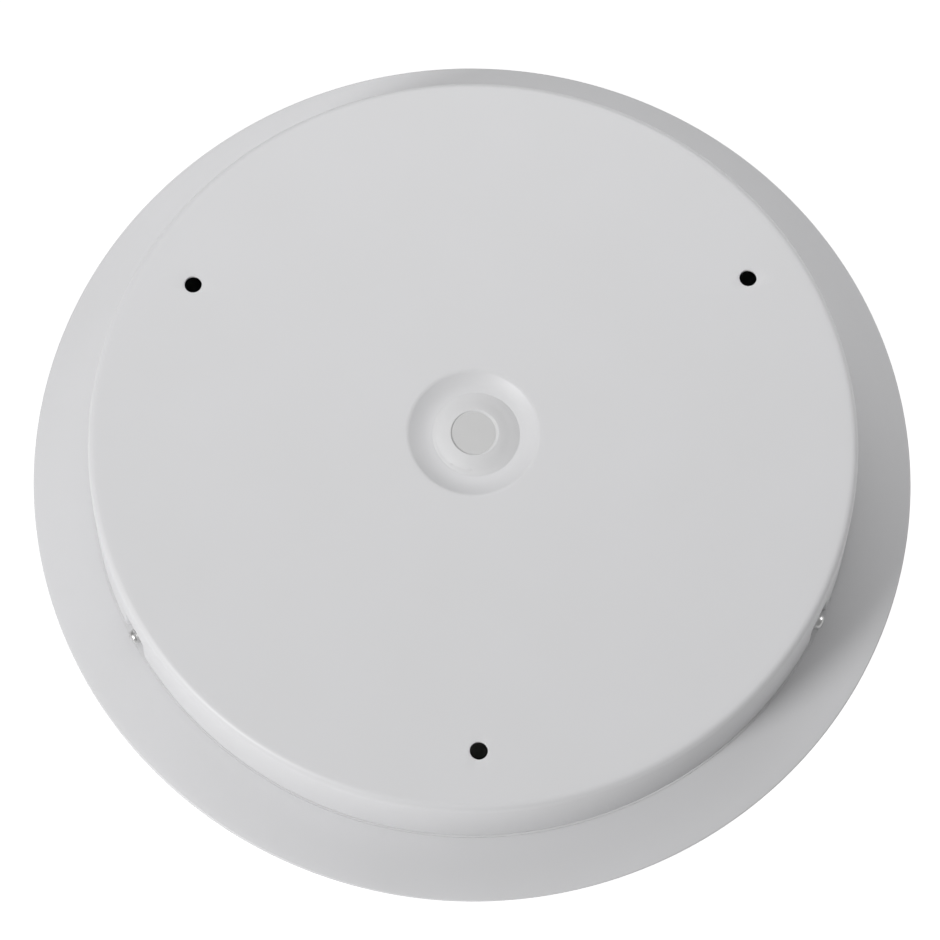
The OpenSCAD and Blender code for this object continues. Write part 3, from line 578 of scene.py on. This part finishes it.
# Extruded PVC: satin, evenly coloured, with the faint lengthwise unevenness of the strands inside.
for name, lead, dark, light in (
        ("brown_extruded_pvc", "live_lead", "#4a2a17", "#5a3620"),
        ("blue_extruded_pvc", "neutral_lead", "#1f4f9f", "#2a61b8"),
        ("green_yellow_extruded_pvc", "earth_lead", "#3f8f2c", "#e5cf2e"),
        ("red_extruded_pvc", "led_lead_positive", "#a81c1c", "#bf2a26"),
        ("black_extruded_pvc", "led_lead_negative", "#1a1a1b", "#28282a")):
    pvc, shader, place = new_finish(name, roughness=0.38, ior=1.54)
    strands = add_node(pvc, "ShaderNodeTexNoise", [("Scale", 1 / (1.2 * MM)), ("Detail", 2.0)],
                       [("Vector", place)])
    if lead == "earth_lead":
        # Two stripes along the lead, which runs nearly level
        normal = pvc.node_tree.nodes["Texture Coordinate"].outputs["Normal"]
        facing = add_node(pvc, "ShaderNodeSeparateXYZ", (), [("Vector", normal)])
        blend = add_node(pvc, "ShaderNodeMath", [("operation", "LESS_THAN"), (1, 0.1)],
                         [(0, facing.outputs["Z"])]).outputs["Value"]
    else:
        blend = strands.outputs["Fac"]
    tint = add_node(pvc, "ShaderNodeMix",
                    [("data_type", "RGBA"), ("A", colour(dark)), ("B", colour(light))],
                    [("Factor", blend)])
    pvc.node_tree.links.new(tint.outputs["Result"], shader.inputs["Base Color"])
    bump = add_node(pvc, "ShaderNodeBump", [("Strength", 0.3), ("Distance", 0.05 * MM)],
                    [("Height", strands.outputs["Fac"])])
    pvc.node_tree.links.new(bump.outputs["Normal"], shader.inputs["Normal"])
    dress(pvc, lead)

# ---- Trim ring ----
# The wide ring that shows below the soffit. It is die-cast aluminium, powder coated white: a
# sloping brim, an upright collar that goes up inside the pan, and a lip that carries the diffuser.
ring_r = 150
brim_root = -30.3
brim_edge = -35.3
brim_thick = 1.8
groove_in = 127.45
groove_out = 129.95
groove_floor = -31.8
collar_r = 125.276
collar_in = 123.276
collar_top = -10
lip_top = -34.5
lip_bottom = -36
lip_r = 110
ring = turned("ring_casting", [
    (collar_in, collar_top, 0.4), (collar_r, collar_top, 0.4), (collar_r, brim_root, 0.5),
    # The groove for the pan's seal, and then the brim's upper side, edge and underside
    (groove_in, brim_root, 0.2), (groove_in, groove_floor), (groove_out, groove_floor),
    (groove_out, brim_root - 0.15, 0.1), (132.5, brim_root - 0.77), (147, brim_edge + 0.73),
    (ring_r, brim_edge, 0.5), (ring_r, brim_edge - brim_thick, 0.5), (131.95, lip_bottom, 2),
    (lip_r, lip_bottom, 0.4), (lip_r, lip_top, 0.4), (collar_in, lip_top, 1),
    (collar_in, collar_top)], ((360, 240),))


def block(low, high, rounding):
    """Block between two corners, with rounded edges."""
    bpy.ops.object.select_all(action="DESELECT")
    a, b = Vector(low) * MM, Vector(high) * MM
    bpy.ops.mesh.primitive_cube_add(size=1, location=(a + b) / 2, scale=b - a)
    piece = bpy.context.object
    bpy.ops.object.transform_apply(location=True, rotation=True, scale=True)
    if rounding:
        bpy.ops.object.mode_set(mode="EDIT")
        bpy.ops.mesh.select_all(action="SELECT")
        bpy.ops.mesh.bevel(offset=rounding * MM, segments=3, affect="EDGES")
        bpy.ops.object.mode_set(mode="OBJECT")
    return piece


# Three bosses for the side screws' inserts, each with a pad that faces the pan's pocket. The hole
# for the screw goes right through, and the insert's wider hole is drilled from inside
boss_half_w = 5
boss_low = screw_depth - 4
boss_high = screw_depth + 4
boss_in = collar_r - 6
pad_face = pocket_face - sheet - 0.3
insert_r = 2.5
insert_end = boss_in + 6
for angle in pocket_at:
    swing(ring, -angle)
    boss = block((boss_in, -boss_half_w, boss_low), (collar_r - 0.5, boss_half_w, boss_high), 0.8)
    work(ring, boss, "UNION")
    pad = block((collar_r - 1.5, -boss_half_w, boss_low), (pad_face, boss_half_w, boss_high), 0.3)
    work(ring, pad, "UNION")
    drill_at = (boss_in - 1, 0, screw_depth)
    work(ring, rod(screw_clear_r, drill_at, (pad_face + 1, 0, screw_depth)))
    work(ring, rod(insert_r, drill_at, (insert_end, 0, screw_depth)))
    swing(ring, angle)

# Six small bosses for the clamp ring's screws
clamp_circle_r = 119.138
clamp_boss_r = 3.3
clamp_boss_top = -31.5
clamp_hole_r = 1.55
for angle in range(0, 360, 60):
    x, y = (clamp_circle_r * f(math.radians(angle)) for f in (math.cos, math.sin))
    work(ring, rod(clamp_boss_r, (x, y, lip_top - 0.5), (x, y, clamp_boss_top)), "UNION")
    work(ring, rod(clamp_hole_r, (x, y, lip_top + 0.1), (x, y, clamp_boss_top + 3.5)))
hand_in(ring, powder_coat, "front", "white_coated_casting", "trim_ring")

# ---- Pan seal and diffuser gasket ----
# White silicone seal that lies in the brim's groove and fills the gap under the pan's edge, and
# the flat silicone ring under the diffuser's flange.
seal_in = 127.6
seal_out = 129.93
seal_low = -31.78
seal_high = -30.04
seal = turned("edge_seal", [
    (seal_in, seal_low), (seal_out, seal_low), (seal_out, seal_high, 0.1),
    (seal_in, seal_high, 0.1), (seal_in, seal_low)], ((360, 240),))
hand_in(seal, silicone, "front", "white_silicone", "pan_seal")
dress(silicone, "diffuser_gasket")

# ---- Diffuser ----
# Opal acrylic dish, injection moulded. Its flange lies on the gasket and its face stands proud
# below the ring, where it glows evenly when the light is on.

# Opal acrylic: milky white that light soaks into, with a polished face under a very fine frosting.
opal, shader, place = new_finish("opal_moulded_acrylic", roughness=0.28, ior=1.49,
                                 subsurface_weight=0.4, subsurface_radius=(1.0, 1.0, 0.95),
                                 subsurface_scale=2.5 * MM)
cloud = add_node(opal, "ShaderNodeTexNoise", [("Scale", 1 / (60 * MM)), ("Detail", 2.0)],
                 [("Vector", place)])
tint = add_node(opal, "ShaderNodeMix",
                [("data_type", "RGBA"), ("A", colour("#e4e4e2")), ("B", colour("#e9e9e7"))],
                [("Factor", cloud.outputs["Fac"])])
opal.node_tree.links.new(tint.outputs["Result"], shader.inputs["Base Color"])
frost = add_node(opal, "ShaderNodeTexNoise", [("Scale", 1 / (0.8 * MM)), ("Detail", 2.0)],
                 [("Vector", place)])
bump = add_node(opal, "ShaderNodeBump", [("Strength", 0.08), ("Distance", 0.03 * MM)],
                [("Height", frost.outputs["Fac"])])
opal.node_tree.links.new(bump.outputs["Normal"], shader.inputs["Normal"])
flange_r = 115
flange_high = -31.5
flange_low = -33.5
dish_r = 109.2
dish_wall = 2
face_low = -41
face_high = face_low + dish_wall
dish = turned("opal_dish", [
    (flange_r, flange_high, 0.3), (flange_r, flange_low, 0.3), (dish_r, flange_low, 0.4),
    (dish_r, face_low, 3.4), (100, face_low), (50, face_low), (0, face_low),
    (0, face_high), (50, face_high), (100, face_high), (dish_r - dish_wall, face_high, 1.5),
    (dish_r - dish_wall, flange_high, 0.4), (flange_r, flange_high)], ((360, 240),))
hand_in(dish, opal, "front", "opal_diffuser", "diffuser")

# ---- Side screws and washers ----
# Three M3 pan-head screws with a cross recess, and their plain washers, both nickel plated. They
# clamp the ring's bosses to the pan's pockets from outside.

# Barrel-plated nickel: bright white metal with a satin bloom and fine handling scratches.
nickel, shader, place = new_finish("satin_nickel_plate", metallic=1.0)
wear = add_node(nickel, "ShaderNodeTexNoise", [("Scale", 1 / (1.1 * MM)), ("Detail", 4.0)],
                [("Vector", place)])
tint = add_node(nickel, "ShaderNodeMix",
                [("data_type", "RGBA"), ("A", colour("#d9d9d8")), ("B", colour("#eeeeed"))],
                [("Factor", wear.outputs["Fac"])])
nickel.node_tree.links.new(tint.outputs["Result"], shader.inputs["Base Color"])
dullness = add_node(nickel, "ShaderNodeMapRange", [("To Min", 0.28), ("To Max", 0.4)],
                    [("Value", wear.outputs["Fac"])])
nickel.node_tree.links.new(dullness.outputs["Result"], shader.inputs["Roughness"])
scratch = add_node(nickel, "ShaderNodeTexNoise", [("Scale", 1 / (0.25 * MM)), ("Detail", 2.0)],
                   [("Vector", place)])
bump = add_node(nickel, "ShaderNodeBump", [("Strength", 0.15), ("Distance", 0.01 * MM)],
                [("Height", scratch.outputs["Fac"])])
nickel.node_tree.links.new(bump.outputs["Normal"], shader.inputs["Normal"])

head_r = 2.5
head_h = 2.4
recess_half = 1.5
recess_deep = 1.5
wing_half = 0.3
thread_r = 1.5
thread_deep = 0.28
thread_pitch = 0.5
shank = 9
washer_in = 1.6
washer_out = 3
washer_thick = 0.6
washer_face = pocket_face + 0.1
head_seat = washer_face + washer_thick

# The screw is made standing on its seat, head up, with a low dome and a tapering cross recess
screw = turned("pan_head_screw", [
    (0, head_h), (0.8, head_h - 0.02), (2, head_h - 0.35, 0.45), (head_r, head_h - 1.2, 0.45),
    (head_r, 0, 0.15), (0, 0)],
    ((360, 48),))
for wing in (0, 90):
    slit = block((-recess_half, -wing_half, head_h - recess_deep),
                 (recess_half, wing_half, head_h + 1), 0)
    bpy.ops.object.mode_set(mode="EDIT")
    pick(slit, "FACE", lambda f: f.normal.z < -0.5)
    bpy.ops.transform.resize(value=(0.55, 0.7, 1))
    bpy.ops.object.mode_set(mode="OBJECT")
    swing(slit, wing)
    work(screw, slit)

# Rolled thread: one V drawn above the seat and wound down the shank, then cut square at both ends
bpy.ops.object.select_all(action="DESELECT")
bpy.ops.mesh.primitive_plane_add(size=MM)
thread = bpy.context.object
bpy.ops.object.mode_set(mode="EDIT")
bpy.ops.mesh.select_mode(type="VERT")
bpy.ops.mesh.select_all(action="SELECT")
bpy.ops.mesh.merge(type="CENTER")
root = thread_r - thread_deep
bpy.ops.transform.translate(value=(root * MM, 0, thread_pitch * MM))
for dx, dz in ((thread_r - root, 0.45), (0, 0.1), (root - thread_r, 0.45)):
    bpy.ops.mesh.extrude_region_move(
        TRANSFORM_OT_translate={"value": (dx * MM, 0, dz * thread_pitch * MM)})
bpy.ops.mesh.select_all(action="SELECT")
# The screw operator winds downwards, and a right-hand thread takes the axis that points down
bpy.ops.mesh.screw(steps=24, turns=round(shank / thread_pitch) + 3, center=(0, 0, 0),
                   axis=(0, 0, -1))
bpy.ops.mesh.select_all(action="SELECT")
bpy.ops.mesh.remove_doubles(threshold=1e-7)
for height, side in ((-shank * MM, -1), (0.4 * MM, 1)):
    bpy.ops.mesh.select_all(action="SELECT")
    bpy.ops.mesh.bisect(plane_co=(0, 0, height), plane_no=(0, 0, side), use_fill=True,
                        clear_outer=True)
bpy.ops.mesh.select_all(action="SELECT")
bpy.ops.mesh.normals_make_consistent(inside=False)
bpy.ops.object.mode_set(mode="OBJECT")
choose(screw)
thread.select_set(True)
bpy.ops.object.join()

washer = turned("plain_washer", [
    (washer_in, 0, 0.05), (washer_out, 0, 0.1), (washer_out, washer_thick, 0.15),
    (washer_in, washer_thick, 0.1), (washer_in, 0)], ((360, 48),))


def aim(piece, name, angle, seat):
    """Copy of a piece, laid on its side: its top faces out at this angle, its seat so far out."""
    copy = piece.copy()
    copy.data = piece.data.copy()
    copy.name = copy.data.name = name
    bpy.context.scene.collection.objects.link(copy)
    out = Vector((math.cos(math.radians(angle)), math.sin(math.radians(angle)), 0))
    copy.rotation_euler = out.to_track_quat("Z", "Y").to_euler()
    copy.location = out * seat * MM + Vector((0, 0, screw_depth * MM))
    choose(copy)
    bpy.ops.object.transform_apply(location=True, rotation=True, scale=True)
    return copy


for side, angle in zip(("left", "right", "rear"), pocket_at):
    hand_in(aim(screw, side + "_pan_head_screw", angle, head_seat), nickel, side + "_screw",
            "nickel_screw", "side_screw_" + side)
    hand_in(aim(washer, side + "_plain_washer", angle, washer_face), nickel, side + "_screw",
            "nickel_screw", "side_washer_" + side)
bpy.data.objects.remove(screw)
bpy.data.objects.remove(washer)

# ---- Stage ----
# White acrylic light table far below the light, three soft boxes above it and a camera over the
# back, all set up as the photograph shows it.

# Light table: white acrylic lit from behind, so that the background comes out plain white.
table_acrylic, shader, place = new_finish(
    "white_backlit_acrylic", roughness=0.6, emission_color=(1, 1, 1, 1), emission_strength=0.6)
cloud = add_node(table_acrylic, "ShaderNodeTexNoise", [("Scale", 1 / (900 * MM)), ("Detail", 2.0)],
                 [("Vector", place)])
tint = add_node(table_acrylic, "ShaderNodeMix",
                [("data_type", "RGBA"), ("A", colour("#fafafa")), ("B", colour("#fcfcfc"))],
                [("Factor", cloud.outputs["Fac"])])
table_acrylic.node_tree.links.new(tint.outputs["Result"], shader.inputs["Base Color"])
table_width = 80
table_height = -1.8
bpy.ops.object.select_all(action="DESELECT")
bpy.ops.mesh.primitive_plane_add(size=table_width, location=(0, 0, table_height))
table = bpy.context.object
table.name = "light_table"
table.data.materials.append(table_acrylic)


def soft_box(name, azimuth, elevation, distance, size, power):
    """Round soft box in this direction from the object, which it shines at. Angles are in degrees,
    distance and size in metres, power in watts."""
    lamp = bpy.data.lights.new(name, "AREA")
    lamp.shape = "DISK"
    lamp.size = size
    lamp.energy = power
    holder = bpy.data.objects.new(name, lamp)
    bpy.context.scene.collection.objects.link(holder)
    a, e = math.radians(azimuth), math.radians(elevation)
    aim_at = Vector((math.cos(a) * math.cos(e), math.sin(a) * math.cos(e), math.sin(e)))
    holder.location = aim_at * distance
    holder.rotation_euler = (-aim_at).to_track_quat("-Z", "Y").to_euler()


soft_box("key_light", 217, 34, 2.4, 0.6, 44.5)
soft_box("fill_light", 90, 50, 0.9, 0.84, 3.02)
soft_box("side_light", 30, 25, 2.0, 1.2, 9.25)
world = bpy.data.worlds.new("studio_air")
bpy.context.scene.world = world
world.use_nodes = True
air = world.node_tree.nodes["Background"]
air.inputs["Color"].default_value = (1, 1, 1, 1)
air.inputs["Strength"].default_value = 0.22

# Camera: its lens in mm, its place in metres and its tilt off the back face's normal, as measured
# on the photograph
lens = bpy.data.cameras.new("camera")
lens.lens = 121.1
lens.sensor_width = 36
lens.sensor_fit = "HORIZONTAL"
camera = bpy.data.objects.new("camera", lens)
bpy.context.scene.collection.objects.link(camera)
camera_at = (-0.014497, -0.342999, 0.990783)
tilt, turn, roll = math.radians(18.43), math.radians(-2.28), math.radians(1.46)
camera.matrix_world = (Matrix.Translation(camera_at)
                       @ Matrix.Rotation(turn, 4, "Z") @ Matrix.Rotation(tilt, 4, "X")
                       @ Matrix.Rotation(roll, 4, "Z"))
bpy.context.scene.camera = camera
bpy.context.scene.view_settings.view_transform = "Standard"
